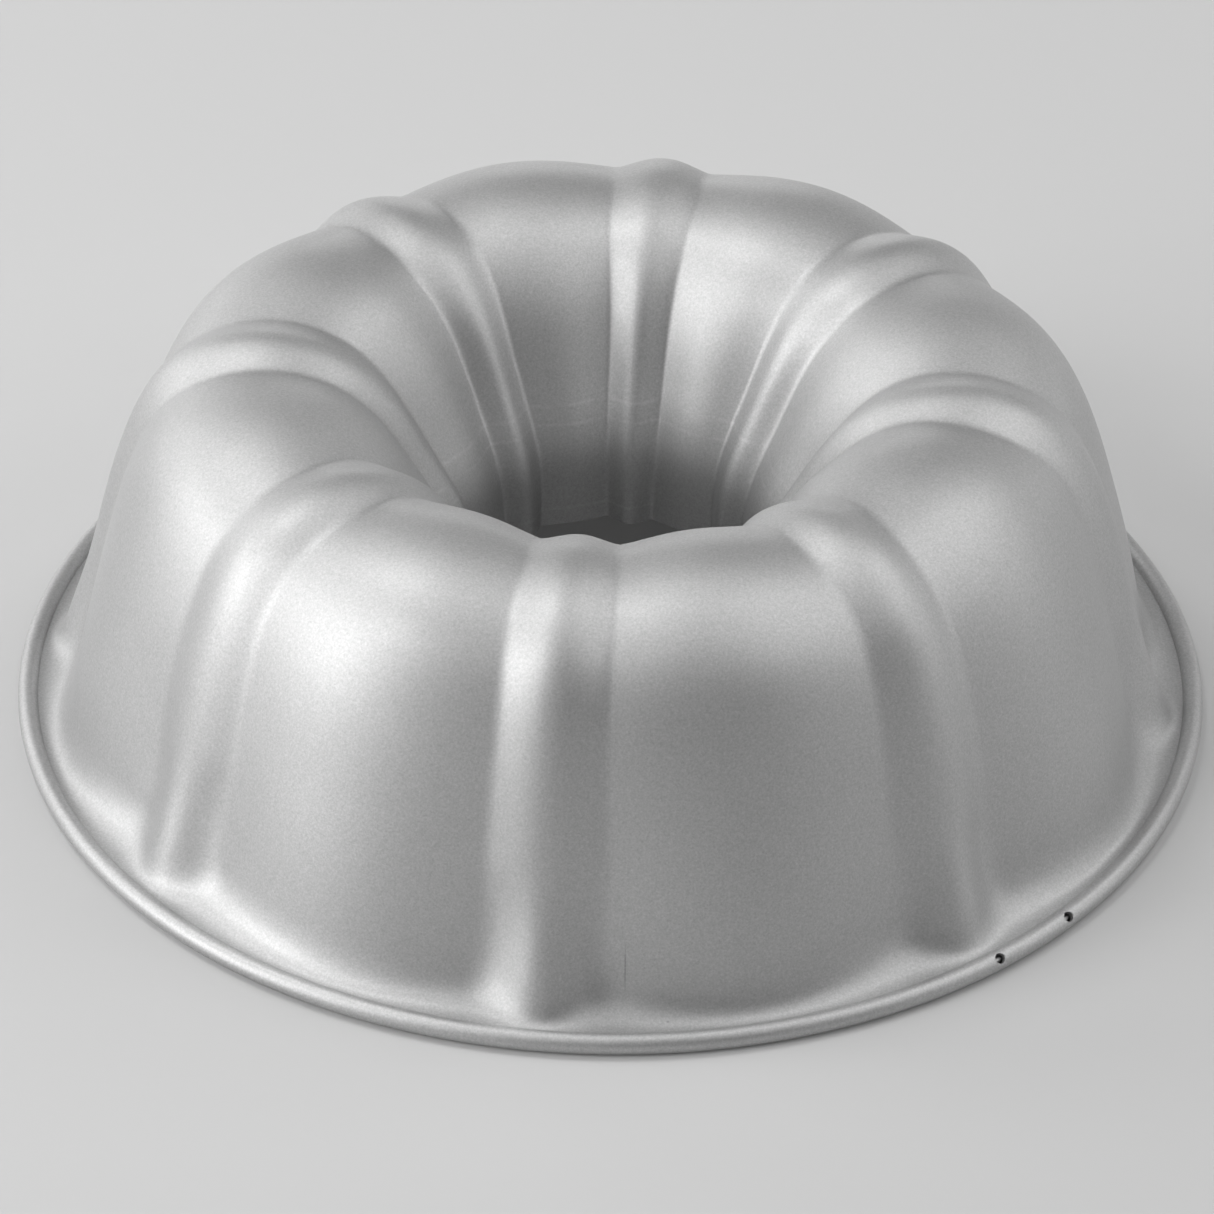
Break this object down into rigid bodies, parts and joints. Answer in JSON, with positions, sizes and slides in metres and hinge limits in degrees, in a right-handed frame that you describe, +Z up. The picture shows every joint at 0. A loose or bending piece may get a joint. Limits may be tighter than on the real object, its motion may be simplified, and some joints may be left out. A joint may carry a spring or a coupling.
{
  "type": "fluted tube cake pan",
  "caption": "Round fluted tube cake pan of thin satin aluminium, standing rim down, with a wide centre tube, ribbed wall, flange and wired rolled rim.",
  "frame": {"origin": "centre of the circle that the rolled rim rests on, on the surface it stands on", "axes": "+Z up along the centre tube's axis, crown up and rim down; -Y through the middle of one rib"},
  "size_m": [0.25, 0.25, 0.0815],
  "materials": {
    "satin_aluminium": "satin, fine-grained sheet",
    "wire_aluminium": "plain drawn wire"
  },
  "bodies": {
    "root": {"pan_shell": "satin_aluminium", "rim_wire": "wire_aluminium"}
  },
  "joints": []
}
